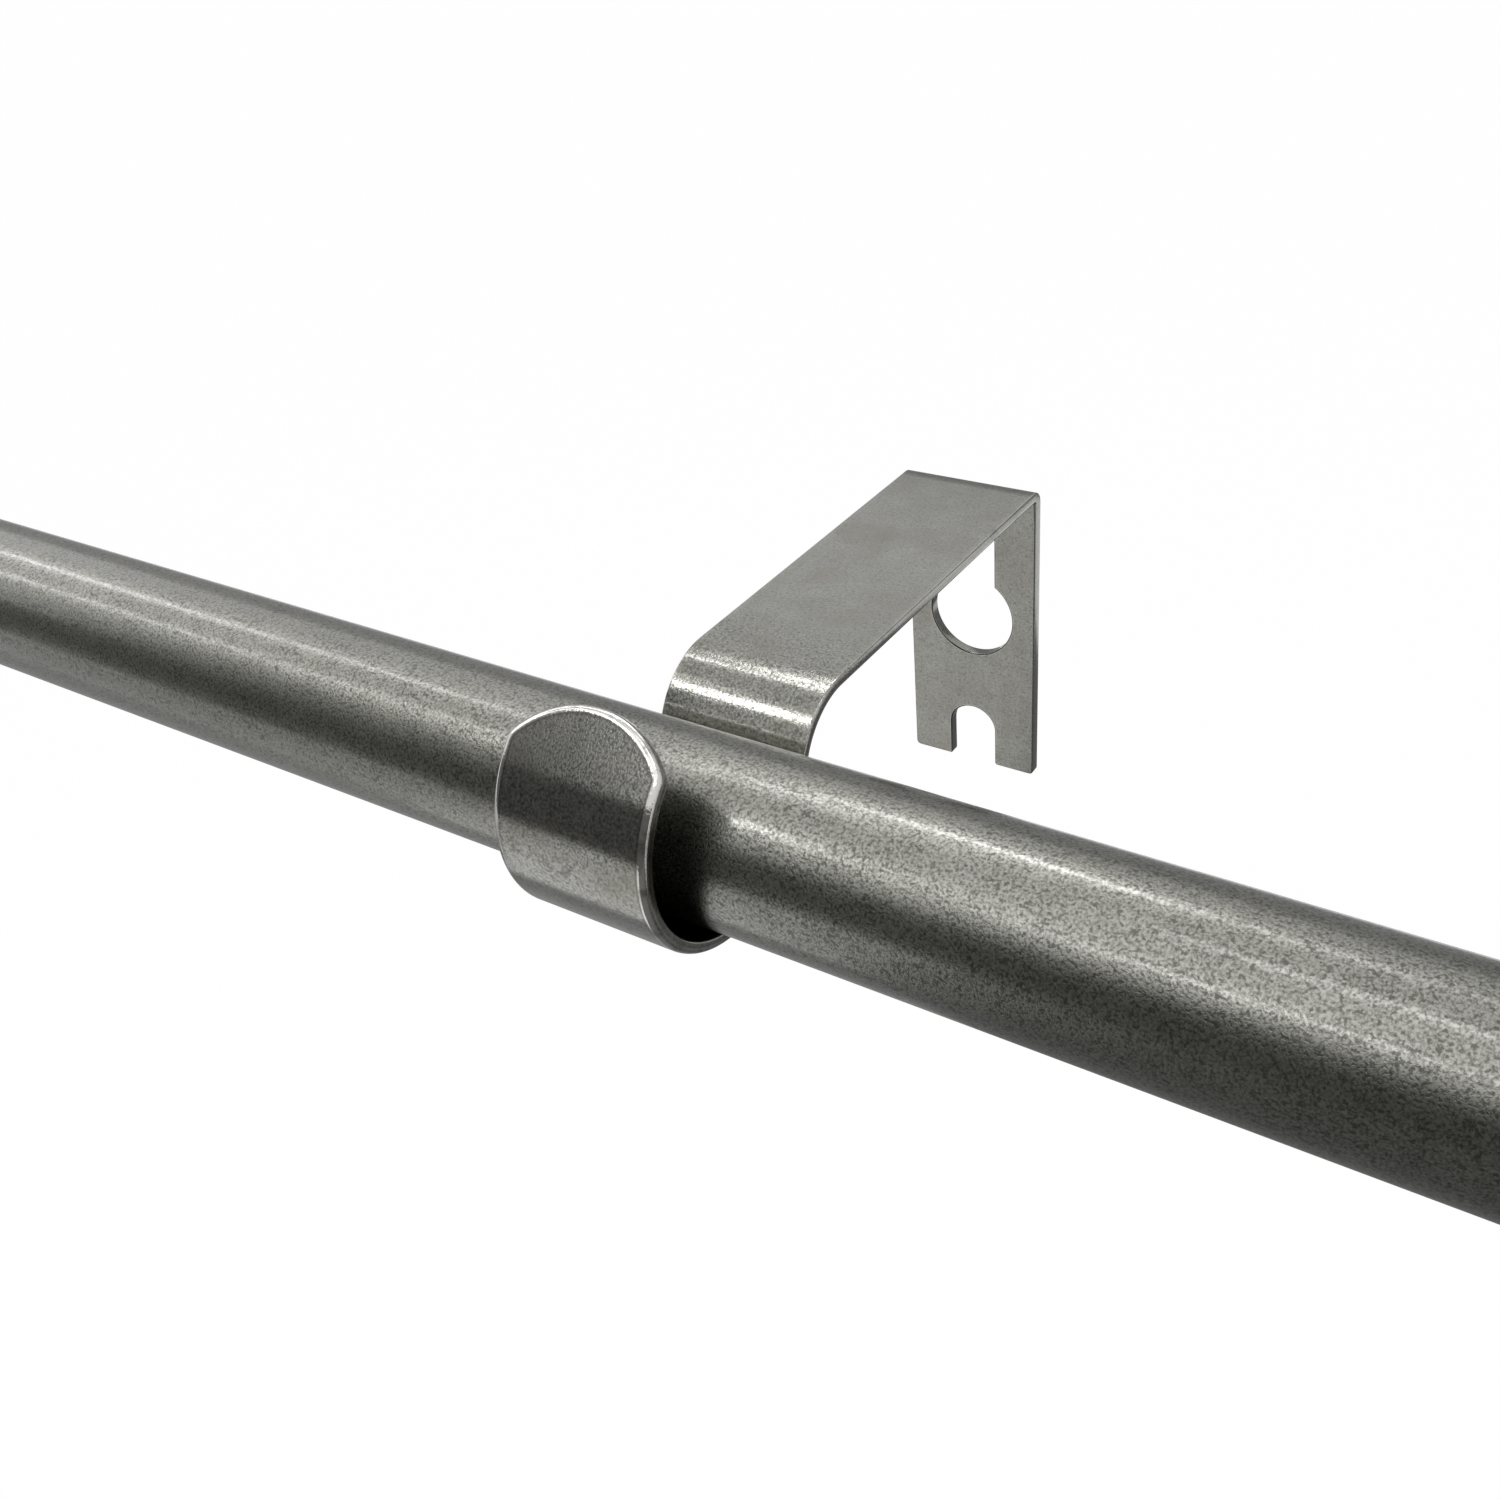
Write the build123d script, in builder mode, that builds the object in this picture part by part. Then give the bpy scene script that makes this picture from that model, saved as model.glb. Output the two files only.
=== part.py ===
from build123d import *
from math import asin, cos, degrees, radians, sin, sqrt
import os

os.makedirs("parts", exist_ok=True)

# Frame: X along the rod, Y into the wall, Z up. The wall is the plane Y = 0.
# The origin is on the back of the right wall plate, on the web between its two screw openings.

# Tubes
outer_dia = 15.9
inner_dia = 13.0
tube_wall = 0.6
closed_length = 711.2
rest_length = 914.4
end_overhang = 80.0
tube_edge = 0.15

# Clearances
running_fit = 0.08
line_fit = 0.02
body_gap = 0.3
closing_gap = 1.0
closing_room = 5.2

# Strap bracket, one strip of steel folded on its wide face
strap_width = 15.3
strap_thick = 1.2
strap_edge = 0.3
axis_to_wall = 57.9
axis_height = 19.0
arm_top_over_axis = 6.1
plate_foot_below_axis = 30.0
wall_fold_inner = 0.3
front_bend_outer = 7.7
hook_inner = 10.6
hook_ahead = 0.65
lip_bend_end = 135.0
lip_flat = 4.5
lip_spare = 1.0
lip_nose_radius = 9.4
lip_corner = 1.5

# Screw openings in the wall plate
keyhole_radius = 4.95
keyhole_below_axis = 10.3
neck_half = 2.8
neck_length = 10.3
foot_slot_half = 2.8
foot_slot_below_axis = 25.4
opening_edge = 0.2

# Nylon parts
bush_length = 14.0
bush_flange = 1.2
glide_length = 8.0
glide_spigot = 12.0
glide_wall = 1.5
nylon_edge = 0.3
plug_length = 16.0
plug_flange = 1.0
plug_rib_depth = 0.8
plug_rib_width = 1.6
plug_ribs = 6

# End caps
cap_dia = 18.0
cap_head = 6.0
cap_edge = 0.8
cap_recess_gap = 0.1
cap_pin_dia = 6.0
cap_pin_length = 11.0

# Tube positions along X
outer_r = outer_dia / 2
inner_r = inner_dia / 2
outer_bore = outer_r - tube_wall
inner_bore = inner_r - tube_wall
axis_y = -axis_to_wall
axis_z = axis_height
outer_right = end_overhang
held_length = closed_length - 2 * cap_head
outer_length = held_length - end_overhang - strap_width / 2 - bush_flange - closing_gap
inner_length = held_length - plug_length - glide_length - closing_room
outer_mouth = outer_right - outer_length
inner_left = outer_right + 2 * cap_head - rest_length
inner_right = inner_left + inner_length
left_x = inner_left + end_overhang
rod_axis = Axis((0, axis_y, axis_z), (1, 0, 0))
cap_r = cap_dia / 2
cap_pin_r = cap_pin_dia / 2

# Strap profile in Y and Z
arm_top = axis_z + arm_top_over_axis
plate_foot = axis_z - plate_foot_below_axis
keyhole_z = axis_z - keyhole_below_axis
foot_slot_z = axis_z - foot_slot_below_axis
fold_y = -strap_thick - wall_fold_inner
fold_z = arm_top - strap_thick - wall_fold_inner
hook_y = axis_y - hook_ahead
hook_z = axis_z + sqrt((hook_inner - outer_r - line_fit) ** 2 - hook_ahead ** 2)
bend_z = arm_top - front_bend_outer
bend_rise = hook_z - bend_z
bend_y = hook_y + sqrt((front_bend_outer + hook_inner) ** 2 - bend_rise ** 2)
swing = degrees(asin(bend_rise / (front_bend_outer + hook_inner)))
bend_sweep = 90 - swing
hook_sweep = 360 - swing - lip_bend_end

# The tip of the lip stays flat past the hook, and its nose is cut square through it
lip_normal = (0, cos(radians(lip_bend_end)), sin(radians(lip_bend_end)))
nose_plane = Plane(origin=(0, hook_y, hook_z), x_dir=(1, 0, 0), z_dir=lip_normal)

# The left bracket sits higher, because the thinner tube rests in the same hook
left_drop = sqrt((hook_inner - inner_r - body_gap) ** 2 - hook_ahead ** 2)
left_rise = axis_z + left_drop - hook_z


# One folded strap: wall plate, arm, front bend, hook and lip
with BuildPart() as right_bracket:
    with BuildSketch(Plane.YZ) as strap_profile:
        with BuildLine():
            Line((0, plate_foot), (0, fold_z))
            CenterArc((fold_y, fold_z), strap_thick + wall_fold_inner, 0, 90)
            Line((fold_y, arm_top), (bend_y, arm_top))
            CenterArc((bend_y, bend_z), front_bend_outer, 90, bend_sweep)
            concave = CenterArc((hook_y, hook_z), hook_inner, -swing, -hook_sweep)
            convex = CenterArc((hook_y, hook_z), hook_inner + strap_thick, -swing, -hook_sweep)
            inner_flat = PolarLine(concave @ 1, lip_flat + lip_spare, direction=concave % 1)
            outer_flat = PolarLine(convex @ 1, lip_flat + lip_spare, direction=convex % 1)
            Line(inner_flat @ 1, outer_flat @ 1)
            CenterArc((bend_y, bend_z), front_bend_outer - strap_thick, 90, bend_sweep)
            Line((bend_y, arm_top - strap_thick), (fold_y, arm_top - strap_thick))
            CenterArc((fold_y, fold_z), wall_fold_inner, 0, 90)
            Line((-strap_thick, fold_z), (-strap_thick, plate_foot))
            Line((-strap_thick, plate_foot), (0, plate_foot))
        make_face()
    extrude(amount=strap_width / 2, both=True)
    with BuildSketch(nose_plane) as nose_waste:
        with Locations((0, lip_flat)):
            Rectangle(2 * strap_width, 2 * lip_nose_radius)
        with Locations((0, lip_flat - lip_nose_radius)):
            Circle(lip_nose_radius, mode=Mode.SUBTRACT)
    extrude(amount=2 * hook_inner, mode=Mode.SUBTRACT)
    nose_corners = right_bracket.edges(Select.LAST).filter_by(Axis(nose_plane.origin, nose_plane.z_dir))
    fillet(nose_corners, lip_corner)
    side_faces = right_bracket.faces().filter_by(Plane.YZ)
    long_edges = side_faces.edges().filter_by(lambda edge: edge.length > 2 * strap_thick)
    chamfer(long_edges, strap_edge)
    with BuildSketch(Plane.XZ) as screw_openings:
        with Locations((0, keyhole_z)):
            Circle(keyhole_radius)
        with Locations((0, keyhole_z + neck_length / 2)):
            SlotCenterToCenter(neck_length, 2 * neck_half, rotation=90)
        with Locations((0, plate_foot)):
            SlotCenterToCenter(2 * (foot_slot_z - plate_foot), 2 * foot_slot_half, rotation=90)
    extrude(amount=2 * strap_thick, both=True, mode=Mode.SUBTRACT)
    opening_edges = right_bracket.edges(Select.LAST).filter_by(Axis.Y, reverse=True)
    chamfer(opening_edges, opening_edge)
right_bracket.part.label = "right_bracket"
export_step(right_bracket.part, "parts/right_bracket.step")

# The pair to it at the other end
with BuildPart() as left_bracket:
    add(right_bracket.part.moved(Location((left_x, 0, left_rise))))
left_bracket.part.label = "left_bracket"
export_step(left_bracket.part, "parts/left_bracket.step")

# Outer tube, open at the mouth on the left
outer_start = Plane(origin=(outer_mouth, axis_y, axis_z), z_dir=(1, 0, 0))
with BuildPart() as outer_tube:
    with BuildSketch(outer_start) as outer_ring:
        Circle(outer_r)
        Circle(outer_bore, mode=Mode.SUBTRACT)
    extrude(amount=outer_length)
    chamfer(outer_tube.edges().filter_by(GeomType.CIRCLE), tube_edge)
outer_tube.part.label = "outer_tube"
export_step(outer_tube.part, "parts/outer_tube.step")

# Inner tube, sliding and turning in the mouth bush
inner_start = Plane(origin=(inner_left, axis_y, axis_z), z_dir=(1, 0, 0))
with BuildPart() as inner_tube:
    with BuildSketch(inner_start) as inner_ring:
        Circle(inner_r)
        Circle(inner_bore, mode=Mode.SUBTRACT)
    extrude(amount=inner_length)
    chamfer(inner_tube.edges().filter_by(GeomType.CIRCLE), tube_edge)
inner_tube.part.label = "inner_tube"
export_step(inner_tube.part, "parts/inner_tube.step")

# Nylon collar pressed into the mouth, its flange against the tube end
mouth_plane = Plane(origin=(outer_mouth, axis_y, axis_z), x_dir=(1, 0, 0), z_dir=(0, 0, 1))
with BuildPart() as mouth_bush:
    with BuildSketch(mouth_plane) as bush_profile:
        with BuildLine():
            Polyline(
                (-bush_flange, inner_r + running_fit),
                (bush_length, inner_r + running_fit),
                (bush_length, outer_bore),
                (0, outer_bore),
                (0, outer_r),
                (-bush_flange, outer_r),
                close=True,
            )
        make_face()
    revolve(axis=rod_axis)
    bush_rims = mouth_bush.edges().filter_by(GeomType.CIRCLE).group_by(Axis.X)[0]
    chamfer(bush_rims, nylon_edge)
mouth_bush.part.label = "mouth_bush"
export_step(mouth_bush.part, "parts/mouth_bush.step")

# Nylon plug on the hidden end of the inner tube, its head a running fit in the outer tube
glide_plane = Plane(origin=(inner_right, axis_y, axis_z), x_dir=(1, 0, 0), z_dir=(0, 0, 1))
with BuildPart() as glide_plug:
    with BuildSketch(glide_plane) as glide_profile:
        with BuildLine():
            Polyline(
                (-glide_spigot, inner_bore - glide_wall),
                (-glide_spigot, inner_bore),
                (0, inner_bore),
                (0, outer_bore - running_fit),
                (glide_length, outer_bore - running_fit),
                (glide_length, inner_bore - glide_wall),
                close=True,
            )
        make_face()
    revolve(axis=rod_axis)
    glide_rims = glide_plug.edges().filter_by(GeomType.CIRCLE).group_by(Axis.X)
    chamfer(glide_rims[0] + glide_rims[-1], nylon_edge)
glide_plug.part.label = "glide_plug"
export_step(glide_plug.part, "parts/glide_plug.step")

# Nylon plug in the right end of the outer tube, ribbed to press in
right_end = Plane(origin=(outer_right, axis_y, axis_z), x_dir=(1, 0, 0), z_dir=(0, 0, 1))
right_face = Plane(origin=(outer_right, axis_y, axis_z), z_dir=(1, 0, 0))
with BuildPart() as outer_end_plug:
    with BuildSketch(right_end) as outer_plug_profile:
        with BuildLine():
            Polyline(
                (-plug_length, cap_pin_r),
                (-plug_length, outer_bore - plug_rib_depth),
                (0, outer_bore - plug_rib_depth),
                (0, outer_r),
                (plug_flange, outer_r),
                (plug_flange, cap_pin_r),
                close=True,
            )
        make_face()
    revolve(axis=rod_axis)
    with BuildSketch(right_face) as outer_plug_ribs:
        with PolarLocations(outer_bore - plug_rib_depth, plug_ribs):
            Rectangle(2 * plug_rib_depth, plug_rib_width)
        Circle(outer_bore, mode=Mode.INTERSECT)
    extrude(amount=-plug_length)
outer_end_plug.part.label = "outer_end_plug"
export_step(outer_end_plug.part, "parts/outer_end_plug.step")

# Nylon plug in the left end of the inner tube
left_end = Plane(origin=(inner_left, axis_y, axis_z), x_dir=(-1, 0, 0), z_dir=(0, 0, 1))
left_face = Plane(origin=(inner_left, axis_y, axis_z), z_dir=(-1, 0, 0))
with BuildPart() as inner_end_plug:
    with BuildSketch(left_end) as inner_plug_profile:
        with BuildLine():
            Polyline(
                (-plug_length, cap_pin_r),
                (-plug_length, inner_bore - plug_rib_depth),
                (0, inner_bore - plug_rib_depth),
                (0, inner_r),
                (plug_flange, inner_r),
                (plug_flange, cap_pin_r),
                close=True,
            )
        make_face()
    revolve(axis=rod_axis)
    with BuildSketch(left_face) as inner_plug_ribs:
        with PolarLocations(inner_bore - plug_rib_depth, plug_ribs):
            Rectangle(2 * plug_rib_depth, plug_rib_width)
        Circle(inner_bore, mode=Mode.INTERSECT)
    extrude(amount=-plug_length)
inner_end_plug.part.label = "inner_end_plug"
export_step(inner_end_plug.part, "parts/inner_end_plug.step")

# Right end cap: a turned head over the plug flange, its pin pressed into the plug
with BuildPart() as outer_end_cap:
    with BuildSketch(right_end) as outer_cap_profile:
        with BuildLine():
            Polyline(
                (plug_flange - cap_pin_length, 0),
                (plug_flange - cap_pin_length, cap_pin_r),
                (plug_flange, cap_pin_r),
                (plug_flange, outer_r + cap_recess_gap),
                (0, outer_r + cap_recess_gap),
                (0, cap_r),
                (cap_head, cap_r),
                (cap_head, 0),
                close=True,
            )
        make_face()
    revolve(axis=rod_axis)
    outer_cap_rims = outer_end_cap.edges().filter_by(lambda edge: edge.length > 6 * cap_r)
    chamfer(outer_cap_rims, cap_edge)
outer_end_cap.part.label = "outer_end_cap"
export_step(outer_end_cap.part, "parts/outer_end_cap.step")

# Left end cap, the same head on the thinner tube
with BuildPart() as inner_end_cap:
    with BuildSketch(left_end) as inner_cap_profile:
        with BuildLine():
            Polyline(
                (plug_flange - cap_pin_length, 0),
                (plug_flange - cap_pin_length, cap_pin_r),
                (plug_flange, cap_pin_r),
                (plug_flange, inner_r + cap_recess_gap),
                (0, inner_r + cap_recess_gap),
                (0, cap_r),
                (cap_head, cap_r),
                (cap_head, 0),
                close=True,
            )
        make_face()
    revolve(axis=rod_axis)
    inner_cap_rims = inner_end_cap.edges().filter_by(lambda edge: edge.length > 6 * cap_r)
    chamfer(inner_cap_rims, cap_edge)
inner_end_cap.part.label = "inner_end_cap"
export_step(inner_end_cap.part, "parts/inner_end_cap.step")
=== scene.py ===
import math

import bmesh
import bpy
from mathutils import Matrix, Vector


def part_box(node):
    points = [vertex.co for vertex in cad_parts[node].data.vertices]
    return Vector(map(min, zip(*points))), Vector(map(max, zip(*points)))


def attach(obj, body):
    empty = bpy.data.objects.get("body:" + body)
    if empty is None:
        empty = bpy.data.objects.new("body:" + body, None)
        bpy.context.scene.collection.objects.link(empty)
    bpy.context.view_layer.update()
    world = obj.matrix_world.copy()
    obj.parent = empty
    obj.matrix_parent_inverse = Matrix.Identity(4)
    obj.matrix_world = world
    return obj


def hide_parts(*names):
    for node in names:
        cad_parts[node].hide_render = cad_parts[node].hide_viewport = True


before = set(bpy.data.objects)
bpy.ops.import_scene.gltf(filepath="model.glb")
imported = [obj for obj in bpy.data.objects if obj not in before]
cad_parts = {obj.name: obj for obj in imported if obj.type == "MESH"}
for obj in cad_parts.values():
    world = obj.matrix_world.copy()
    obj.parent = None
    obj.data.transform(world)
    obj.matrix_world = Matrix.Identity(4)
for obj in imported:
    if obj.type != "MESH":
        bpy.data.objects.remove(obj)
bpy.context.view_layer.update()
MM = 0.001
QUARTER = math.pi / 2

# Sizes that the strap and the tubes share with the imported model, in metres
STRAP_W = 15.3 * MM
STRAP_T = 1.2 * MM
AXIS_Y = -57.9 * MM
AXIS_Z = 19.0 * MM
ARM_TOP = AXIS_Z + 6.1 * MM
FOOT = AXIS_Z - 30.0 * MM
OUTER_R = 7.95 * MM
INNER_R = 6.5 * MM
TUBE_WALL = 0.6 * MM
TUBE_EDGE = 0.12 * MM
MOUTH_WEAR = 0.6
BORE_WEAR = 0.3

# The strap's three folds. The radii that end in _R are those of the middle of the metal
FOLD_INSIDE = 0.3 * MM
FOLD_R = FOLD_INSIDE + STRAP_T / 2
BEND_OUTSIDE = 7.7 * MM
BEND_R = BEND_OUTSIDE - STRAP_T / 2
HOOK_INSIDE = 10.6 * MM
HOOK_R = HOOK_INSIDE + STRAP_T / 2
HOOK_AHEAD = 0.65 * MM
ROD_GAP = 0.02 * MM
HOOK_Y = AXIS_Y - HOOK_AHEAD
HOOK_Z = AXIS_Z + math.sqrt((HOOK_INSIDE - OUTER_R - ROD_GAP) ** 2 - HOOK_AHEAD**2)
BEND_Z = ARM_TOP - BEND_OUTSIDE
SWING = math.asin((HOOK_Z - BEND_Z) / (BEND_R + HOOK_R))
BEND_Y = HOOK_Y + (BEND_R + HOOK_R) * math.cos(SWING)
LIP_BEND_END = math.radians(135.0)
LIP_FLAT = 4.5 * MM

# The strap's nose, its foot and its holes
NOSE_R = 9.4 * MM
NOSE_CORNER = 1.5 * MM
FOOT_CORNER = 0.5 * MM
SLOT_CORNER = 0.3 * MM
KEY_R = 4.95 * MM
KEY_Z = AXIS_Z - 10.3 * MM
NECK_HALF = 2.8 * MM
NECK_LEN = 10.3 * MM
SLOT_HALF = 2.8 * MM
SLOT_Z = AXIS_Z - 25.4 * MM

# The end caps
CAP_R = 9.0 * MM
CAP_HEAD = 6.0 * MM
CAP_EDGE = 0.8 * MM
CAP_SHOULDER = 2.2 * CAP_EDGE
CAP_PIN_R = 3.0 * MM
CAP_PIN = 11.0 * MM
CAP_GAP = 0.1 * MM
CAP_MOUTH_WEAR = 0.5
PLUG_FLANGE = 1.0 * MM

# The deburred edge of the strap: a wide soft roll in front, a small one behind
ROLL_W = 0.62 * MM
ROLL_D = 0.45 * MM
BACK_ROLL = 0.17 * MM
BACK_STEPS = 4
RIM_W = 0.95 * MM
# How far past the rolls the painted rim changes: to a fine line (a painted shade line on the face, a
# painted light line on the side), to nothing on the side, and behind
LINE_FADE = 0.13 * MM
SIDE_FADE = 0.25 * MM
BACK_FADE = 0.08 * MM
# How bright the metal is made, from the face over the front roll to the side: wear with a painted highlight
# on the roll and the side. Below 0 it is painted dark, a painted shade line on the face beside the roll
PAINTED_SHADE_LINE = -0.75
ROLL_WEAR_AND_HIGHLIGHT = (0.8, 1.0, 1.0, 1.0, 0.95, 0.8, 0.25, 0.1, 0.55)
SIDE_WEAR_AND_HIGHLIGHT = 0.6
BACK_WEAR = 0.3
BACK_FADE_WEAR = 0.1
# How soft an edge is against the lip's, and how much of that wear and painted highlight it has. Below 0 it
# is painted darker instead
LIP_EDGE = (1.0, 1.0)
ARM_EDGE = (0.7, 0.9)
PLATE_EDGE = (0.25, 0.15)
HOLE_EDGE = (0.25, -0.8)
EDGE_EASE = 2.5 * MM
# The plate and the arm are smoother than the bend and the lip
CALM = 0.6

# The flat blank, measured up from the foot of the wall plate
FOLD_AT = ARM_TOP - STRAP_T / 2 - FOLD_R
FOLD_LEN = FOLD_R * QUARTER
BEND_AT = FOLD_AT + FOLD_LEN + (-STRAP_T / 2 - FOLD_R - BEND_Y)
BEND_TURN = QUARTER - SWING
HOOK_AT = BEND_AT + BEND_R * BEND_TURN
HOOK_TURN = 2 * math.pi - SWING - LIP_BEND_END
FLAT_AT = HOOK_AT + HOOK_R * HOOK_TURN
BLANK_END = FLAT_AT + LIP_FLAT
FOLD_SIZES = ("Start", "Radius", "Angle")
FOLDS = {
    "Hook": (HOOK_AT, HOOK_R, -HOOK_TURN),
    "Bend": (BEND_AT, BEND_R, BEND_TURN),
    "Fold": (FOLD_AT, FOLD_R, QUARTER),
}

# How finely the rounds are divided
CORNER_STEPS = 6
NOSE_STEPS = 48
KEY_STEPS = 56
ROUND_STEPS = 24
FOLD_STEPS = 8
ARM_STEPS = 6
BEND_STEPS = 28
HOOK_STEPS = 68
TUBE_SIDES = 128
CAP_SIDES = 96
CAP_STEPS = 8

# The least radius of a corner, the limit on how far a sharp one is drawn in, and how near is touching
LEAST_R = 0.001 * MM
CORNER_LIMIT = 0.3
WELD = 0.002 * MM
ON_LINE = 1e-8

# Where the mix node keeps its two inputs and its result
MIX_SOCKETS = {"VECTOR": (4, 5, 1), "RGBA": (6, 7, 2)}


def link(name, data):
    obj = bpy.data.objects.new(name, data)
    bpy.context.scene.collection.objects.link(obj)
    return obj


def smooth(mesh):
    for face in mesh.polygons:
        face.use_smooth = True


def arc(cx, cy, r, a0, a1, steps):
    """Points along an arc, each with no corner radius."""
    angles = [a0 + (a1 - a0) * i / steps for i in range(steps + 1)]
    return [(cx + r * math.cos(a), cy + r * math.sin(a), 0.0) for a in angles]


def outline_at(corners, edges, depth):
    """The outline moved into the metal by a depth times each corner's softness, with its edge."""
    count = len(corners)
    moved = []
    for i in range(count):
        before, here, after = (Vector(corners[(i + k) % count][:2]) for k in (-1, 0, 1))
        d1, d2 = (here - before).normalized(), (after - here).normalized()
        n1, n2 = Vector((-d1.y, d1.x)), Vector((-d2.y, d2.x))
        convex = d1.x * d2.y - d1.y * d2.x > 0
        pull = (n1 + n2) / max(1 + n1.dot(n2), CORNER_LIMIT)
        moved.append((here + pull * depth * edges[i][0], convex))
    ring = []
    for i in range(count):
        radius = corners[i][2]
        here, convex = moved[i]
        if not radius:
            ring.append((here, edges[i]))
            continue
        inward = depth * edges[i][0]
        radius = max(radius - inward, LEAST_R) if convex else radius + inward
        a = (moved[i - 1][0] - here).normalized()
        b = (moved[(i + 1) % count][0] - here).normalized()
        half = a.angle(b) / 2
        centre = here + (a + b).normalized() * (radius / math.sin(half))
        reach = radius / math.tan(half)
        start, end = here + a * reach - centre, here + b * reach - centre
        turn = start.angle(end)
        for k in range(CORNER_STEPS + 1):
            f = k / CORNER_STEPS
            spoke = (start * math.sin((1 - f) * turn) + end * math.sin(f * turn)) / math.sin(turn)
            ring.append((centre + spoke, edges[i]))
    return ring


def edge_section():
    """Rows over the edge: depth, the face it is measured from, drop from that face, and wear with painted
    highlight and shade.
    """
    rows = [(RIM_W, STRAP_T, 0.0, 0.0), (ROLL_W + LINE_FADE, STRAP_T, 0.0, PAINTED_SHADE_LINE)]
    last = len(ROLL_WEAR_AND_HIGHLIGHT) - 1
    for k, rim_amount in enumerate(ROLL_WEAR_AND_HIGHLIGHT):
        a = QUARTER * k / last
        rows.append((ROLL_W * (1 - math.sin(a)), STRAP_T, -ROLL_D * (1 - math.cos(a)), rim_amount))
    rows.append((0.0, STRAP_T, -ROLL_D - LINE_FADE, SIDE_WEAR_AND_HIGHLIGHT))
    rows.append((0.0, STRAP_T, -ROLL_D - SIDE_FADE, 0.0))
    for k in range(BACK_STEPS + 1):
        a = QUARTER * (1 - k / BACK_STEPS)
        rows.append((BACK_ROLL * (1 - math.sin(a)), 0.0, BACK_ROLL * (1 - math.cos(a)), BACK_WEAR))
    rows.append((BACK_ROLL + BACK_FADE, 0.0, 0.0, BACK_FADE_WEAR))
    rows.append((RIM_W, 0.0, 0.0, 0.0))
    return rows


def strap_outline():
    """The corners of the flat strap and their edges, from the foot slot round the nose and back to it."""
    half = STRAP_W / 2
    spread = math.asin(half / NOSE_R)
    nose = arc(0, BLANK_END - NOSE_R, NOSE_R, QUARTER - spread, QUARTER + spread, NOSE_STEPS)
    nose[0] = (*nose[0][:2], NOSE_CORNER)
    nose[-1] = (*nose[-1][:2], NOSE_CORNER)
    # the steps next to each corner lie inside its round, so they are left out
    nose = [nose[0]] + nose[2:-2] + [nose[-1]]
    feet = ((SLOT_HALF, SLOT_CORNER), (half, FOOT_CORNER))
    side = (
        (FOLD_AT - EDGE_EASE, PLATE_EDGE),
        (FOLD_AT + EDGE_EASE, ARM_EDGE),
        (BEND_AT, ARM_EDGE),
        (HOOK_AT, LIP_EDGE),
    )
    points = [((x, FOOT, corner), PLATE_EDGE) for x, corner in feet]
    points += [((half, z, 0.0), edge) for z, edge in side]
    points += [(point, LIP_EDGE) for point in nose]
    points += [((-half, z, 0.0), edge) for z, edge in reversed(side)]
    points += [((-x, FOOT, corner), PLATE_EDGE) for x, corner in reversed(feet)]
    points += [(point, HOLE_EDGE) for point in arc(0, SLOT_Z, SLOT_HALF, math.pi, 0, ROUND_STEPS)]
    return points


def keyhole_outline():
    """The keyhole's round opening and the neck above it."""
    gate = math.asin(NECK_HALF / KEY_R)
    points = arc(0, KEY_Z, KEY_R, QUARTER - gate, QUARTER + gate - 2 * math.pi, KEY_STEPS)
    points += arc(0, KEY_Z + NECK_LEN, NECK_HALF, math.pi, 0, ROUND_STEPS)
    return [(point, HOLE_EDGE) for point in points]


def fold_lines():
    """The lines across the blank that let its folds come out round."""
    lines = [FOLD_AT]
    fold_end = FOLD_AT + FOLD_LEN
    runs = ((fold_end, FOLD_STEPS), (BEND_AT, ARM_STEPS), (HOOK_AT, BEND_STEPS), (FLAT_AT, HOOK_STEPS))
    for end, steps in runs:
        start = lines[-1]
        lines += [start + (end - start) * i / steps for i in range(1, steps + 1)]
    return lines


def band(bm, lower, upper):
    """Faces between two closed rings. A ring of one point is the middle of a disc."""
    count = max(len(lower), len(upper))
    for i in range(count):
        j = (i + 1) % count
        if len(lower) == 1:
            bm.faces.new((lower[0], upper[j], upper[i]))
        elif len(upper) == 1:
            bm.faces.new((lower[i], lower[j], upper[0]))
        else:
            bm.faces.new((lower[i], lower[j], upper[j], upper[i]))


def finished(bm, name):
    mesh = bpy.data.meshes.new(name)
    bm.to_mesh(mesh)
    bm.free()
    smooth(mesh)
    return mesh


def blank_mesh():
    """The strap cut and deburred, before it is folded: X across, Z along, front towards -Y."""
    bm = bmesh.new()
    wear_and_highlight = bm.verts.layers.float.new("rim")
    rows = edge_section()
    seams = ([], [])
    for points in (strap_outline(), keyhole_outline()):
        corners, edges = zip(*points)
        rings = []
        for depth, face, drop, rim_amount in rows:
            ring = []
            for p, (softness, shine) in outline_at(corners, edges, depth):
                vert = bm.verts.new((p.x, -face - drop * softness, p.y))
                # The rim value paints wear and a highlight on the edges, and paints them darker where it is
                # below 0
                vert[wear_and_highlight] = rim_amount * shine
                ring.append(vert)
            rings.append(ring)
        for lower, upper in zip(rings, rings[1:]):
            band(bm, lower, upper)
        for seam, ring in zip(seams, (rings[0], rings[-1])):
            seam.extend(bm.edges.get(pair) for pair in zip(ring, ring[1:] + ring[:1]))
    for seam in seams:
        bmesh.ops.triangle_fill(bm, use_beauty=True, use_dissolve=False, edges=seam)
    bmesh.ops.remove_doubles(bm, verts=bm.verts, dist=WELD)
    for z in fold_lines():
        everything = bm.verts[:] + bm.edges[:] + bm.faces[:]
        bmesh.ops.bisect_plane(bm, geom=everything, dist=ON_LINE, plane_co=(0, 0, z), plane_no=(0, 0, 1))
    bmesh.ops.recalc_face_normals(bm, faces=bm.faces)
    along = bm.verts.layers.float.new("along")
    calm = bm.verts.layers.float.new("calm")
    for vert in bm.verts:
        vert[along] = vert.co.z
        vert[calm] = CALM if vert.co.z < BEND_AT - EDGE_EASE else 0.0
    return finished(bm, "strap_blank")


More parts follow.
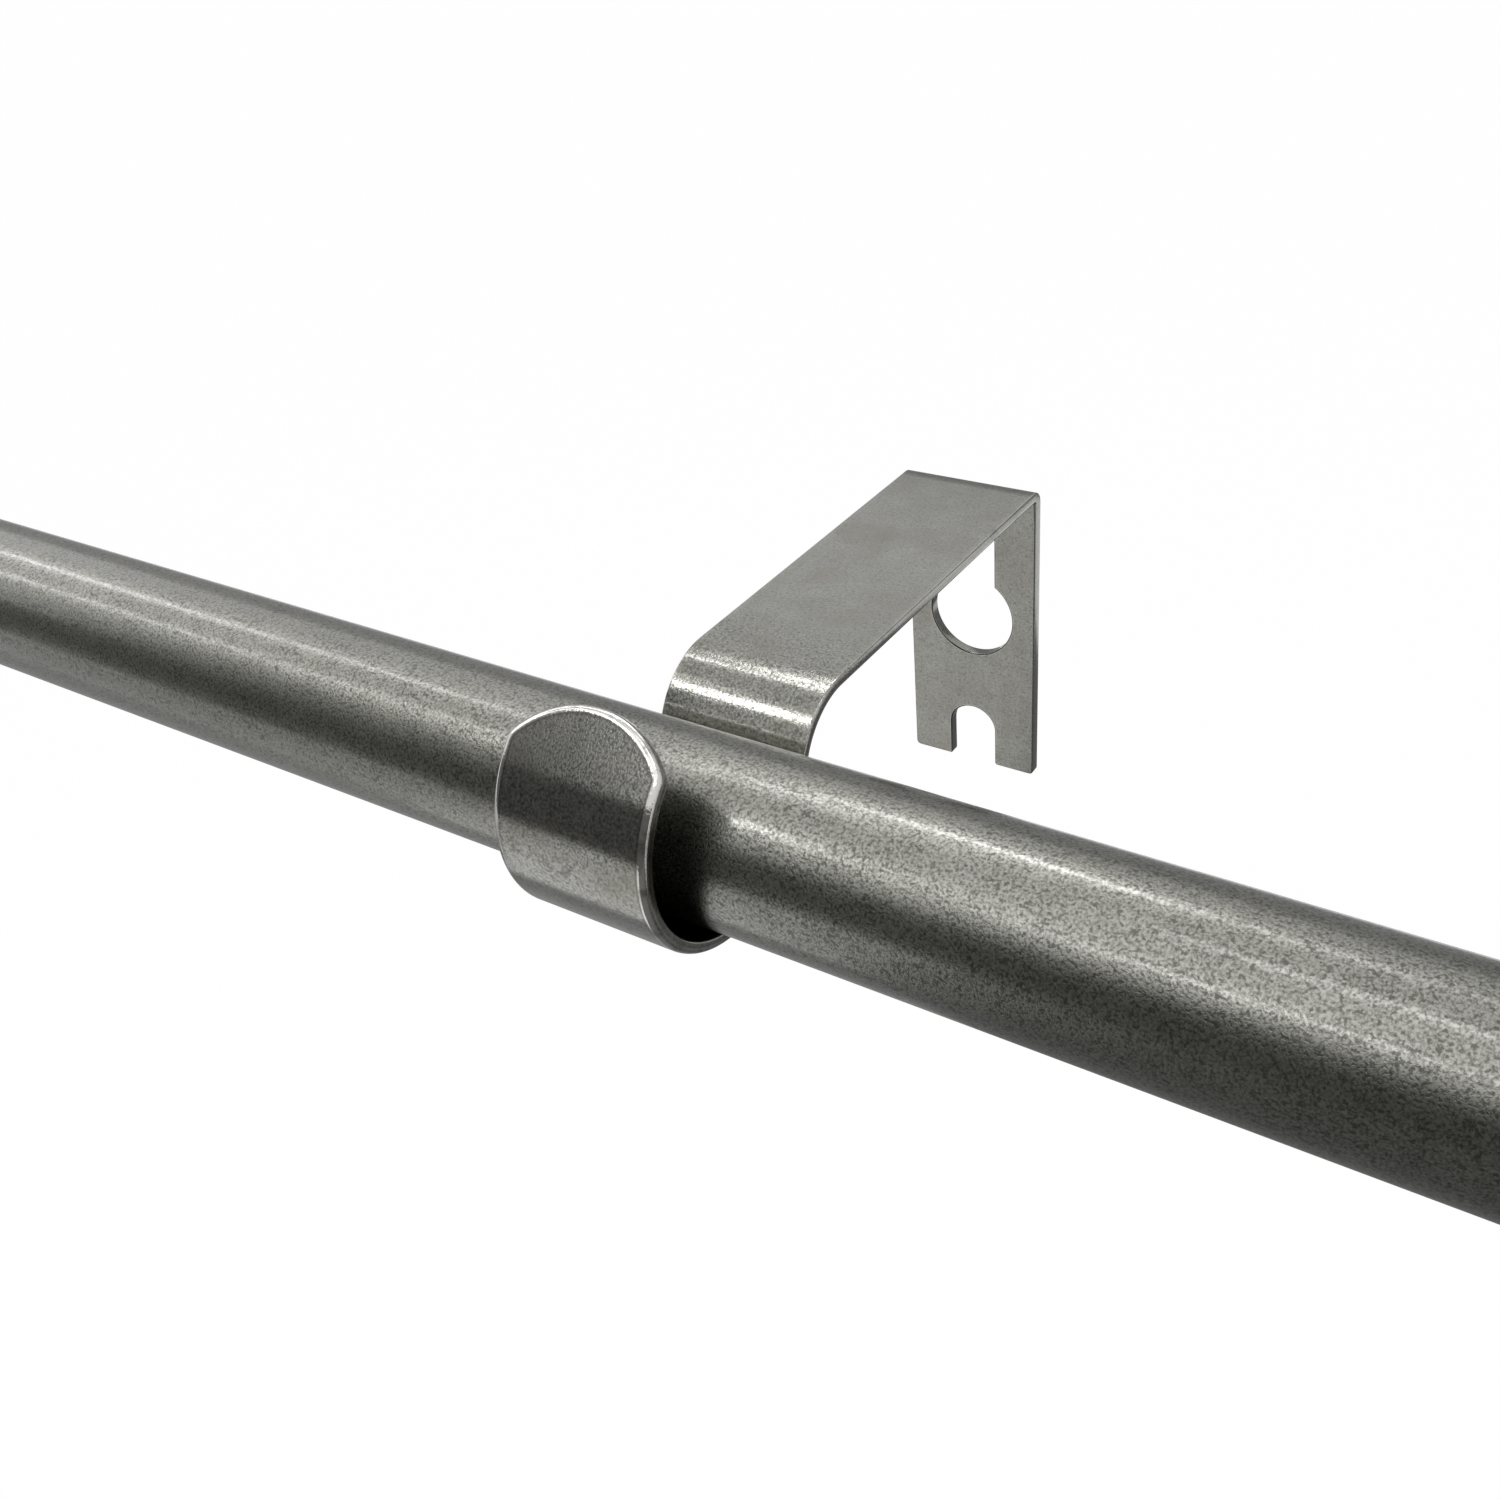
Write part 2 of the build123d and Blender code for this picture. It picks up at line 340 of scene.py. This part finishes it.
def turned(name, profile, sides, ring=True):
    """Turns (x, radius, wear) points about the rod's axis, as a ring or from axis to axis."""
    bm = bmesh.new()
    wear_and_highlight = bm.verts.layers.float.new("rim")
    rows = []
    for x, r, rim_amount in profile:
        angles = [0.0] if r == 0 else [2 * math.pi * i / sides for i in range(sides)]
        row = [bm.verts.new((x, AXIS_Y + r * math.cos(a), AXIS_Z + r * math.sin(a))) for a in angles]
        for vert in row:
            vert[wear_and_highlight] = rim_amount
        rows.append(row)
    pairs = list(zip(rows, rows[1:]))
    if ring:
        pairs.append((rows[-1], rows[0]))
    for lower, upper in pairs:
        band(bm, lower, upper)
    bmesh.ops.recalc_face_normals(bm, faces=bm.faces)
    return link(name, finished(bm, name))


def wire(tree, source, socket):
    tree.links.new(source, socket)


def feed(tree, socket, value):
    """Sets a number or colour on a socket, or joins another node's output to it."""
    if isinstance(value, (int, float)):
        socket.default_value = value
    elif isinstance(value, tuple):
        socket.default_value = (*value, 1.0)
    else:
        wire(tree, value, socket)


def add_sockets(tree, way, kind, *names):
    """Gives a group inputs or outputs of one kind, and returns their identifiers by name."""
    face = tree.interface
    return {name: face.new_socket(name, in_out=way, socket_type=kind).identifier for name in names}


def sums(tree, kind, *values, clamp=False):
    node = tree.nodes.new("ShaderNodeMath")
    node.operation = kind
    node.use_clamp = clamp
    for socket, value in zip(node.inputs, values):
        feed(tree, socket, value)
    return node.outputs[0]


def blend(tree, factor, a, b, kind="RGBA"):
    node = tree.nodes.new("ShaderNodeMix")
    node.data_type = kind
    first, second, result = MIX_SOCKETS[kind]
    feed(tree, node.inputs["Factor"], factor)
    feed(tree, node.inputs[first], a)
    feed(tree, node.inputs[second], b)
    return node.outputs[result]


def fold_group():
    """One fold: everything past Start turns about a line at Radius from the middle of the metal."""
    tree = bpy.data.node_groups.new("Fold Strap", "GeometryNodeTree")
    add_sockets(tree, "INPUT", "NodeSocketGeometry", "Geometry")
    add_sockets(tree, "INPUT", "NodeSocketFloat", *FOLD_SIZES, "Middle")
    add_sockets(tree, "OUTPUT", "NodeSocketGeometry", "Geometry")
    into, out = tree.nodes.new("NodeGroupInput"), tree.nodes.new("NodeGroupOutput")
    start, radius, angle, middle = (into.outputs[k] for k in (*FOLD_SIZES, "Middle"))
    along = tree.nodes.new("GeometryNodeInputNamedAttribute")
    along.data_type = "FLOAT"
    along.inputs["Name"].default_value = "along"
    place = tree.nodes.new("GeometryNodeInputPosition")
    split = tree.nodes.new("ShaderNodeSeparateXYZ")
    wire(tree, place.outputs[0], split.inputs[0])
    past = sums(tree, "DIVIDE", sums(tree, "SUBTRACT", along.outputs["Attribute"], start), radius)
    turn = sums(tree, "MINIMUM", sums(tree, "MAXIMUM", past, 0.0), sums(tree, "ABSOLUTE", angle))
    side = sums(tree, "SIGN", angle)
    sine, cosine = sums(tree, "SINE", turn), sums(tree, "COSINE", turn)
    leaning = sums(tree, "MULTIPLY", sine, side)
    dy = sums(tree, "SUBTRACT", split.outputs["Y"], middle)
    dz = sums(tree, "SUBTRACT", split.outputs["Z"], sums(tree, "MULTIPLY_ADD", radius, turn, start))
    reach = sums(tree, "MULTIPLY", side, radius)
    shift = sums(tree, "MULTIPLY", reach, sums(tree, "SUBTRACT", 1.0, cosine))
    y = sums(tree, "SUBTRACT", sums(tree, "MULTIPLY", dy, cosine), sums(tree, "MULTIPLY", dz, leaning))
    z = sums(tree, "ADD", sums(tree, "MULTIPLY", dy, leaning), sums(tree, "MULTIPLY", dz, cosine))
    join = tree.nodes.new("ShaderNodeCombineXYZ")
    wire(tree, split.outputs["X"], join.inputs["X"])
    wire(tree, sums(tree, "ADD", sums(tree, "SUBTRACT", middle, shift), y), join.inputs["Y"])
    wire(tree, sums(tree, "ADD", sums(tree, "MULTIPLY_ADD", radius, sine, start), z), join.inputs["Z"])
    folding = sums(tree, "GREATER_THAN", past, 0.0)
    moved = blend(tree, folding, place.outputs[0], join.outputs[0], "VECTOR")
    put = tree.nodes.new("GeometryNodeSetPosition")
    wire(tree, into.outputs["Geometry"], put.inputs["Geometry"])
    wire(tree, moved, put.inputs["Position"])
    wire(tree, put.outputs[0], out.inputs[0])
    return tree


def strap_tree(metal):
    """The blank is folded at the hook first, then at the front bend, then at the wall."""
    one = fold_group()
    tree = bpy.data.node_groups.new("Strap Bracket", "GeometryNodeTree")
    add_sockets(tree, "INPUT", "NodeSocketGeometry", "Geometry")
    names = [f"{name} {size}" for name in FOLDS for size in FOLD_SIZES]
    sizes = add_sockets(tree, "INPUT", "NodeSocketFloat", *names, "Middle")
    add_sockets(tree, "OUTPUT", "NodeSocketGeometry", "Geometry")
    into, out = tree.nodes.new("NodeGroupInput"), tree.nodes.new("NodeGroupOutput")
    flow = into.outputs["Geometry"]
    for name in FOLDS:
        node = tree.nodes.new("GeometryNodeGroup")
        node.node_tree = one
        wire(tree, flow, node.inputs["Geometry"])
        for size in FOLD_SIZES:
            wire(tree, into.outputs[f"{name} {size}"], node.inputs[size])
        wire(tree, into.outputs["Middle"], node.inputs["Middle"])
        flow = node.outputs[0]
    real = tree.nodes.new("GeometryNodeRealizeInstances")
    wire(tree, flow, real.inputs[0])
    paint = tree.nodes.new("GeometryNodeSetMaterial")
    paint.inputs["Material"].default_value = metal
    wire(tree, real.outputs[0], paint.inputs["Geometry"])
    wire(tree, paint.outputs[0], out.inputs[0])
    return tree, sizes


def strap_pair(metal):
    """The right strap, folded from the blank, and its copy in the left bracket's place."""
    tree, sizes = strap_tree(metal)
    blank = link("strap_blank", blank_mesh())
    folding = blank.modifiers.new("Folding", "NODES")
    folding.node_group = tree
    for name, values in FOLDS.items():
        for size, value in zip(FOLD_SIZES, values):
            folding[sizes[f"{name} {size}"]] = value
    folding[sizes["Middle"]] = -STRAP_T / 2
    graph = bpy.context.evaluated_depsgraph_get()
    folded = bpy.data.meshes.new_from_object(blank.evaluated_get(graph))
    bpy.data.objects.remove(blank)
    folded.name = "right_strap"
    smooth(folded)
    pair = folded.copy()
    pair.name = "left_strap"
    right_low, left_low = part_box("right_bracket")[0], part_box("left_bracket")[0]
    pair.transform(Matrix.Translation((left_low[0] - right_low[0], 0, left_low[2] - right_low[2])))
    return link("right_strap", folded), link("left_strap", pair)


def tube_end(x, way, r):
    """The broken edges of a tube's end, from its outside round into its bore."""
    bore = r - TUBE_WALL
    return [
        (x + way * 3 * TUBE_EDGE, r, 0),
        (x + way * TUBE_EDGE, r, 1),
        (x, r - TUBE_EDGE, 1),
        (x, bore + TUBE_EDGE, MOUTH_WEAR),
        (x + way * TUBE_EDGE, bore, BORE_WEAR),
    ]


def tube(name, node, r):
    low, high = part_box(node)
    return turned(name, tube_end(high[0], -1, r) + tube_end(low[0], 1, r)[::-1], TUBE_SIDES)


def cap_rim(x, way):
    """The round of a cap's rim, from its flat at x out to its side, worn most in the middle."""
    rows = []
    for k in range(CAP_STEPS + 1):
        a = QUARTER * k / CAP_STEPS
        r = CAP_R - CAP_EDGE + CAP_EDGE * math.sin(a)
        rim_amount = 1 - abs(2 * k / CAP_STEPS - 1) / 2
        rows.append((x + way * CAP_EDGE * (1 - math.cos(a)), r, rim_amount))
    return rows


def cap(name, node, tube_r, side):
    """A turned head with two rounded rims, hollow over the plug flange, on a pin."""
    low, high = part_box(node)
    face = high[0] if side > 0 else low[0]
    seat = face - side * CAP_HEAD
    bed = seat + side * PLUG_FLANGE
    tip = seat + side * (PLUG_FLANGE - CAP_PIN)
    hollow = tube_r + CAP_GAP
    rows = [(face, 0, 0), (face, CAP_R - CAP_SHOULDER, 0)]
    rows += cap_rim(face, -side)
    rows += [(face - side * CAP_SHOULDER, CAP_R, 0), (seat + side * CAP_SHOULDER, CAP_R, 0)]
    rows += cap_rim(seat, side)[::-1]
    rows += [(seat, hollow, CAP_MOUTH_WEAR), (bed, hollow, 0)]
    rows += [(bed, CAP_PIN_R, 0), (tip, CAP_PIN_R, 0), (tip, 0, 0)]
    return turned(name, rows, CAP_SIDES, ring=False)


def noise(tree, vector, scale, detail=2.0, rough=0.5):
    node = tree.nodes.new("ShaderNodeTexNoise")
    node.inputs["Detail"].default_value = detail
    node.inputs["Roughness"].default_value = rough
    wire(tree, vector, node.inputs["Vector"])
    feed(tree, node.inputs["Scale"], scale)
    return node.outputs["Fac"]


def ramp(tree, value, low, high, out_low=0.0, out_high=1.0):
    node = tree.nodes.new("ShaderNodeMapRange")
    feed(tree, node.inputs["From Min"], low)
    feed(tree, node.inputs["From Max"], high)
    feed(tree, node.inputs["To Min"], out_low)
    feed(tree, node.inputs["To Max"], out_high)
    wire(tree, value, node.inputs["Value"])
    return node.outputs["Result"]


def relief(tree, height, distance, shader):
    node = tree.nodes.new("ShaderNodeBump")
    node.inputs["Distance"].default_value = distance
    wire(tree, height, node.inputs["Height"])
    wire(tree, node.outputs["Normal"], shader.inputs["Normal"])


# The speckle's patterns, in waves to the metre, and the part of each pattern that shows
GRAIN_SCALE = 4300.0
FLECK_SHARE = 0.62
CLOUD_SCALE = 160.0
PATCH_SCALE = 420.0
GRAIN_SHOWN = (0.33, 0.67)
FLECK_SHOWN = (0.57, 0.68)
PATCH_SHOWN = (0.25, 0.75)
CLOUD_SHOWN = (0.5, 0.75)
BRIGHT_RIM_SHOWN = (0.28, 0.5)
HAZE_SHOWN = (0.3, 0.7)
FLAT_SHOWN = (0.34, 0.56)
# The tone that the patches give, and what clouds, flecks and worn rims do to the roughness and the relief
PATCH_TONE = (0.5, 0.7)
HAZE_ROUGH = 0.04
FLECK_ROUGH = 0.15
BARE_SHEEN = 0.08
FLECK_DEPTH = 0.6
LACQUER_ROUGH = 0.16
# Bright metal at the rims, worn bare and on the strap's edges also a painted highlight, and the warm clouds
# of the tubes and of the strap
BRIGHT = (0.62, 0.61, 0.58)
WARM = (0.235, 0.225, 0.19)
STAIN = (0.17, 0.155, 0.122)


def speckle_group():
    """Speckled pewter: fine grain, dark flecks, faint warm clouds, and rims made bright, partly as wear and
    partly as a painted highlight; a rim value below 0 paints them dark instead.
    """
    tree = bpy.data.node_groups.new("Pewter Speckle", "ShaderNodeTree")
    add_sockets(tree, "INPUT", "NodeSocketVector", "Vector")
    amounts = ("Grain Scale", "Grain Contrast", "Fleck Amount", "Cloud Amount", "Gloss")
    add_sockets(tree, "INPUT", "NodeSocketFloat", *amounts, "Rim", "Rim Shine", "Calm")
    add_sockets(tree, "INPUT", "NodeSocketColor", "Light", "Dark", "Warm", "Bright")
    add_sockets(tree, "OUTPUT", "NodeSocketColor", "Color")
    add_sockets(tree, "OUTPUT", "NodeSocketFloat", "Roughness", "Height")
    into, out = tree.nodes.new("NodeGroupInput").outputs, tree.nodes.new("NodeGroupOutput").inputs
    fleck_scale = sums(tree, "MULTIPLY", into["Grain Scale"], FLECK_SHARE)
    fine = noise(tree, into["Vector"], into["Grain Scale"], rough=0.6)
    spots = noise(tree, into["Vector"], fleck_scale, detail=1.0, rough=0.4)
    cloud = noise(tree, into["Vector"], CLOUD_SCALE, detail=3.0, rough=0.55)
    wide = noise(tree, into["Vector"], PATCH_SCALE)
    strong = sums(tree, "SUBTRACT", 1.0, into["Calm"])
    fleck = sums(tree, "MULTIPLY", ramp(tree, spots, *FLECK_SHOWN), into["Fleck Amount"])
    fleck = sums(tree, "MULTIPLY", fleck, strong)
    salt = sums(tree, "SUBTRACT", ramp(tree, fine, *GRAIN_SHOWN), 0.5)
    salt = sums(tree, "MULTIPLY", salt, into["Grain Contrast"])
    salt = sums(tree, "MULTIPLY", salt, strong)
    patchy = ramp(tree, wide, *PATCH_SHOWN, *PATCH_TONE)
    tone = sums(tree, "SUBTRACT", sums(tree, "ADD", salt, patchy), fleck, clamp=True)
    color = blend(tree, tone, into["Dark"], into["Light"])
    warm = sums(tree, "MULTIPLY", ramp(tree, cloud, *CLOUD_SHOWN), into["Cloud Amount"])
    color = blend(tree, warm, color, into["Warm"])
    # Rims are made bright: wear on the tubes and caps, and on the strap's edges wear with a painted
    # highlight
    wear_and_highlight = sums(tree, "MULTIPLY", sums(tree, "MAXIMUM", into["Rim"], 0.0), into["Rim Shine"])
    rim_wear_and_highlight = sums(tree, "MULTIPLY", wear_and_highlight, ramp(tree, wide, *BRIGHT_RIM_SHOWN))
    color = blend(tree, rim_wear_and_highlight, color, into["Bright"])
    # A rim value below 0 paints the edge dark: a painted shade line beside the strap's roll, and darker
    # rims at the holes
    painted_dark_rim = sums(tree, "MULTIPLY", into["Rim"], -1.0, clamp=True)
    color = blend(tree, painted_dark_rim, color, into["Dark"])
    rough = sums(tree, "ADD", into["Gloss"], ramp(tree, cloud, *HAZE_SHOWN, 0.0, HAZE_ROUGH))
    rough = sums(tree, "ADD", rough, sums(tree, "MULTIPLY", fleck, FLECK_ROUGH))
    rough = sums(tree, "SUBTRACT", rough, sums(tree, "MULTIPLY", rim_wear_and_highlight, BARE_SHEEN))
    flats = sums(tree, "MULTIPLY", ramp(tree, fine, *FLAT_SHOWN), strong)
    wire(tree, color, out["Color"])
    wire(tree, rough, out["Roughness"])
    wire(tree, sums(tree, "SUBTRACT", flats, sums(tree, "MULTIPLY", fleck, FLECK_DEPTH)), out["Height"])
    return tree


def new_material(name):
    material = bpy.data.materials.new(name)
    material.use_nodes = True
    return material, material.node_tree, material.node_tree.nodes["Principled BSDF"]


SPECKLE = speckle_group()


def pewter(name, bump, lacquer, **finish):
    """Speckled metal under a thin smooth lacquer."""
    material, tree, shader = new_material(name)
    shader.inputs["Metallic"].default_value = 1.0
    shader.inputs["Coat Weight"].default_value = lacquer
    shader.inputs["Coat Roughness"].default_value = LACQUER_ROUGH
    place = tree.nodes.new("ShaderNodeTexCoord")
    grain = tree.nodes.new("ShaderNodeGroup")
    grain.node_tree = SPECKLE
    wire(tree, place.outputs["Object"], grain.inputs["Vector"])
    for key in ("Rim", "Calm"):
        painted = tree.nodes.new("ShaderNodeAttribute")
        painted.attribute_name = key.lower()
        wire(tree, painted.outputs["Fac"], grain.inputs[key])
    feed(tree, grain.inputs["Grain Scale"], GRAIN_SCALE)
    feed(tree, grain.inputs["Bright"], BRIGHT)
    for key, value in finish.items():
        feed(tree, grain.inputs[key.replace("_", " ").title()], value)
    relief(tree, grain.outputs["Height"], bump, shader)
    wire(tree, grain.outputs["Color"], shader.inputs["Base Color"])
    wire(tree, grain.outputs["Roughness"], shader.inputs["Roughness"])
    return material


tube_metal = pewter(
    "tube_pewter",
    bump=0.010 * MM,
    lacquer=0.8,
    grain_contrast=1.1,
    fleck_amount=0.55,
    cloud_amount=0.15,
    gloss=0.28,
    rim_shine=0.6,
    light=(0.262, 0.261, 0.236),
    dark=(0.07, 0.069, 0.057),
    warm=WARM,
)
strap_metal = pewter(
    "strap_pewter",
    bump=0.003 * MM,
    lacquer=0.6,
    grain_contrast=1.0,
    fleck_amount=0.5,
    cloud_amount=0.6,
    gloss=0.135,
    rim_shine=0.9,
    light=(0.305, 0.304, 0.28),
    dark=(0.089, 0.088, 0.075),
    warm=STAIN,
)
cap_metal = pewter(
    "cap_pewter",
    bump=0.009 * MM,
    lacquer=0.8,
    grain_contrast=1.0,
    fleck_amount=0.4,
    cloud_amount=0.2,
    gloss=0.28,
    rim_shine=0.7,
    light=(0.29, 0.29, 0.267),
    dark=(0.09, 0.089, 0.076),
    warm=WARM,
)

# The moulded nylon of the bush and the plugs
NYLON_DARK = (0.018, 0.018, 0.018)
NYLON_PALE = (0.04, 0.04, 0.039)
NYLON_GRAIN = 2500.0
NYLON_CLOUD = 300.0
NYLON_ROUGH = (0.42, 0.6)
NYLON_BUMP = 0.01 * MM


def nylon_material():
    material, tree, shader = new_material("nylon")
    place = tree.nodes.new("ShaderNodeTexCoord").outputs["Object"]
    fine = noise(tree, place, NYLON_GRAIN)
    broad = noise(tree, place, NYLON_CLOUD)
    wire(tree, blend(tree, broad, NYLON_DARK, NYLON_PALE), shader.inputs["Base Color"])
    wire(tree, ramp(tree, fine, *HAZE_SHOWN, *NYLON_ROUGH), shader.inputs["Roughness"])
    relief(tree, fine, NYLON_BUMP, shader)
    return material


nylon = nylon_material()

right_strap, left_strap = strap_pair(strap_metal)
outer = tube("outer_tube_skin", "outer_tube", OUTER_R)
inner = tube("inner_tube_skin", "inner_tube", INNER_R)
right_cap = cap("right_cap_skin", "outer_end_cap", OUTER_R, 1)
left_cap = cap("left_cap_skin", "inner_end_cap", INNER_R, -1)
for piece in (outer, inner):
    piece.data.materials.append(tube_metal)
for piece in (right_cap, left_cap):
    piece.data.materials.append(cap_metal)
for node in ("mouth_bush", "glide_plug", "outer_end_plug", "inner_end_plug"):
    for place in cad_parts[node].material_slots:
        place.material = nylon

for piece, body, node, slot in (
    (right_strap, "fixed_side", "right_bracket", "strap_pewter"),
    (left_strap, "left_bracket", "left_bracket", "strap_pewter"),
    (outer, "fixed_side", "outer_tube", "tube_pewter"),
    (inner, "inner_rod", "inner_tube", "tube_pewter"),
    (right_cap, "fixed_side", "outer_end_cap", "cap_pewter"),
    (left_cap, "inner_rod", "inner_end_cap", "cap_pewter"),
):
    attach(piece, body)
    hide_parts(node)

# The studio's paper and cards
MATT = 0.9
PAPER = 0.8
FLOOR_Z = -0.45
FLOOR_HALF = 8.0
WHITE_SHARE = 0.97


def board(name, corners):
    """A flat sheet with four corners, which is no part of the object."""
    mesh = bpy.data.meshes.new(name)
    mesh.from_pydata(corners, [], [(0, 1, 2, 3)])
    sheet = link(name, mesh)
    return sheet


def paper(name, shade):
    material, tree, shader = new_material(name)
    shader.inputs["Base Color"].default_value = (shade, shade, shade, 1)
    shader.inputs["Roughness"].default_value = MATT
    return material, tree, shader


def floor_material():
    """Pale paper, shown almost pure white to the camera and in reflections."""
    material, tree, shader = paper("floor_paper", PAPER)
    rays = tree.nodes.new("ShaderNodeLightPath").outputs
    seen = sums(tree, "ADD", rays["Is Camera Ray"], rays["Is Glossy Ray"])
    seen = sums(tree, "ADD", seen, rays["Is Transmission Ray"], clamp=True)
    glow = tree.nodes.new("ShaderNodeEmission")
    glow.inputs["Strength"].default_value = 1.0
    mix = tree.nodes.new("ShaderNodeMixShader")
    wire(tree, sums(tree, "MULTIPLY", seen, WHITE_SHARE), mix.inputs["Fac"])
    wire(tree, shader.outputs[0], mix.inputs[1])
    wire(tree, glow.outputs[0], mix.inputs[2])
    wire(tree, mix.outputs[0], tree.nodes["Material Output"].inputs["Surface"])
    return material


flat = [(x * FLOOR_HALF, y * FLOOR_HALF, FLOOR_Z) for x, y in ((-1, -1), (1, -1), (1, 1), (-1, 1))]
floor = board("floor", flat)
floor.data.materials.append(floor_material())


def card(name, corners, shade):
    """A matt card that shows only in reflections. Its corners are in metres from the rod at the bracket."""
    sheet = board(name, [(x, AXIS_Y + y, AXIS_Z + z) for x, y, z in corners])
    sheet.visible_camera = False
    sheet.visible_diffuse = False
    sheet.visible_shadow = False
    sheet.data.materials.append(paper(name, shade)[0])


def upright(y, *corners):
    return [(x, y, z) for x, z in corners]


def level(z, *corners):
    return [(x, y, z) for x, y in corners]


# Where the cards meet or end, along the rod
LEFT = -1.6
SIDE = -0.11
UNDER_LEFT = -0.10
RIGHT = 0.5
WALL_RIGHT = 0.8
# From the front to the wall
NEAR = -0.9
FRONT = -0.35
MIDDLE = -0.22
BACK = -0.12
TURN = 0.05
BACK_END = 0.5
WALL = 0.6
# Upwards
LOW = -0.40
UNDER = -0.36
WALL_BASE = -0.25
BASE = -0.115
BROW = 0.20
WALL_TOP = 0.28
CROWN = 0.60
# The slanting line under the left of the rod
SLANT_NEAR = (-0.72, NEAR)
SLANT_MIDDLE = (-0.405, MIDDLE)
SLANT_BACK = (-0.36, BACK)

# A dark card stands in front, one slopes under the right of the rod, and a grey one stands above the first
card("front_card", upright(FRONT, (LEFT, BASE), (RIGHT, BASE), (RIGHT, BROW), (LEFT, BROW)), 0.12)
slope = [(UNDER_LEFT, FRONT, BASE), (RIGHT, FRONT, BASE), (RIGHT, TURN, UNDER), (UNDER_LEFT, TURN, UNDER)]
card("under_card", slope, 0.15)
card("grey_card", upright(FRONT, (-0.62, BROW), (-0.27, BROW), (-0.42, CROWN), (-0.77, CROWN)), 0.2)
# Low ones lie under the rod: white for the lip, greyer towards the left and the wall, dark at the right
card("low_card", level(LOW, SLANT_NEAR, (SIDE, NEAR), (SIDE, BACK), SLANT_BACK), 0.95)
card("left_low_card", level(LOW, (LEFT, NEAR), SLANT_NEAR, SLANT_MIDDLE, (LEFT, MIDDLE)), 0.52)
card("left_back_card", level(LOW, (LEFT, MIDDLE), SLANT_MIDDLE, SLANT_BACK, (LEFT, BACK)), 0.30)
card("back_card", level(LOW, (LEFT, BACK), (SIDE, BACK), (SIDE, BACK_END), (LEFT, BACK_END)), 0.26)
card("side_card", level(UNDER, (SIDE, TURN), (RIGHT, TURN), (RIGHT, WALL), (SIDE, WALL)), 0.14)
# The last stands behind the rod, past the wall plate
backing = ((LEFT, WALL_BASE), (WALL_RIGHT, WALL_BASE), (WALL_RIGHT, WALL_TOP), (LEFT, WALL_TOP))
card("wall_card", upright(WALL, *backing), 0.30)

world = bpy.data.worlds.new("studio")
bpy.context.scene.world = world
world.use_nodes = True
world.node_tree.nodes["Background"].inputs["Color"].default_value = (1, 1, 1, 1)
world.node_tree.nodes["Background"].inputs["Strength"].default_value = 1.0


def softbox(name, place, length, width, brightness):
    """A rectangular lamp that faces the rod at the bracket, its long side as near along it as it can be."""
    data = bpy.data.lights.new(name, "AREA")
    data.shape = "RECTANGLE"
    data.size, data.size_y = length, width
    data.energy = brightness * math.pi * length * width
    lamp = link(name, data)
    way = Vector(place).normalized()
    wide = (Vector((1, 0, 0)) - way * way.x).normalized()
    facing = Matrix((wide, way.cross(wide), way)).transposed().to_4x4()
    lamp.matrix_world = Matrix.Translation(Vector((0, AXIS_Y, AXIS_Z)) + Vector(place)) @ facing


# Strips and small lamps above the rod, behind it and in front, one for the bend, and a wide soft one
softbox("left_back_strip", (-0.67, 0.17, 0.60), 0.80, 0.045, 6.5)
softbox("left_front_strip", (-0.76, -0.20, 0.60), 0.62, 0.045, 4.5)
softbox("right_back_strip", (-0.10, 0.43, 0.65), 0.24, 0.05, 4.5)
softbox("middle_back_lamp", (-0.36, 0.29, 0.65), 0.08, 0.05, 12.0)
softbox("right_back_lamp", (-0.25, 0.41, 0.635), 0.19, 0.05, 16.0)
softbox("right_front_strip", (-0.02, -0.03, 0.78), 0.24, 0.05, 7.5)
softbox("front_strip", (-0.09, -0.51, 0.59), 0.25, 0.03, 12.0)
softbox("bend_lamp", (-0.405, -0.347, 0.572), 0.13, 0.10, 12.0)
softbox("front_glow", (-0.12, -0.50, 1.05), 0.70, 0.80, 0.6)

# The camera stands where the photograph was taken. Its turn, rise and roll are in degrees
TURN_RISE_ROLL = (37.1131, 34.0406, -6.345)
AIM = Vector((9.695 * MM, AXIS_Y, AXIS_Z + 9.302 * MM))
DISTANCE = 121.61 * MM
LENS = 37.287
SENSOR = 36.0
NEAREST = 0.005
azimuth, elevation, roll = (math.radians(v) for v in TURN_RISE_ROLL)
outward = math.cos(elevation)
back = Vector((math.sin(azimuth) * outward, -math.cos(azimuth) * outward, math.sin(elevation)))
right = Vector((math.cos(azimuth), math.sin(azimuth), 0))
up = back.cross(right)
cosine, sine = math.cos(roll), math.sin(roll)
right, up = right * cosine + up * sine, up * cosine - right * sine
lens = bpy.data.cameras.new("camera")
lens.lens = LENS
lens.sensor_width = SENSOR
lens.clip_start = NEAREST
camera = link("camera", lens)
facing = Matrix((right, up, back)).transposed().to_4x4()
camera.matrix_world = Matrix.Translation(AIM + back * DISTANCE) @ facing
bpy.context.scene.camera = camera
bpy.context.scene.view_settings.view_transform = "Standard"
